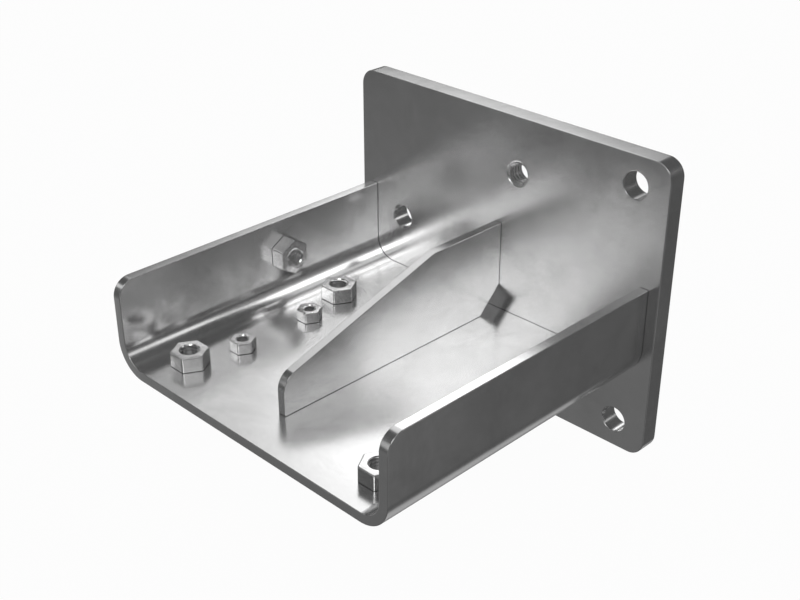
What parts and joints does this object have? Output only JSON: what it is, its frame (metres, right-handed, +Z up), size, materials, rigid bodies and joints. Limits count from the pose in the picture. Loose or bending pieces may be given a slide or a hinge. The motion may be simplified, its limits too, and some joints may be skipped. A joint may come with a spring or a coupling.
{
  "type": "sensor mounting plate",
  "caption": "Machine-mounted steel bracket: a drilled back plate carries a folded open tray with a central gusset and hex weld nuts for a sensor.",
  "frame": {"origin": "centre of the mounting plate's back face, which lies against the machine", "axes": "+Y is the outward normal of the plate's back face, into the machine; the tray reaches out along -Y; +Z is up, from the tray's floor towards its open top; +X is along the plate's width, towards its pair of holes"},
  "size_m": [0.117, 0.1072, 0.0924],
  "materials": {
    "plate_steel": "satin",
    "tray_steel": "satin",
    "gusset_steel": "satin",
    "nut_steel": "satin"
  },
  "bodies": {
    "root": {"mounting_plate": "plate_steel", "folded_tray": "tray_steel", "gusset": "gusset_steel", "large_nut_front_left": "nut_steel", "large_nut_front_right": "nut_steel", "large_nut_rear_left": "nut_steel", "large_nut_rear_right": "nut_steel", "small_nut_front_left": "nut_steel", "small_nut_front_right": "nut_steel", "small_nut_rear_left": "nut_steel", "small_nut_rear_right": "nut_steel", "side_nut": "nut_steel"}
  },
  "joints": []
}
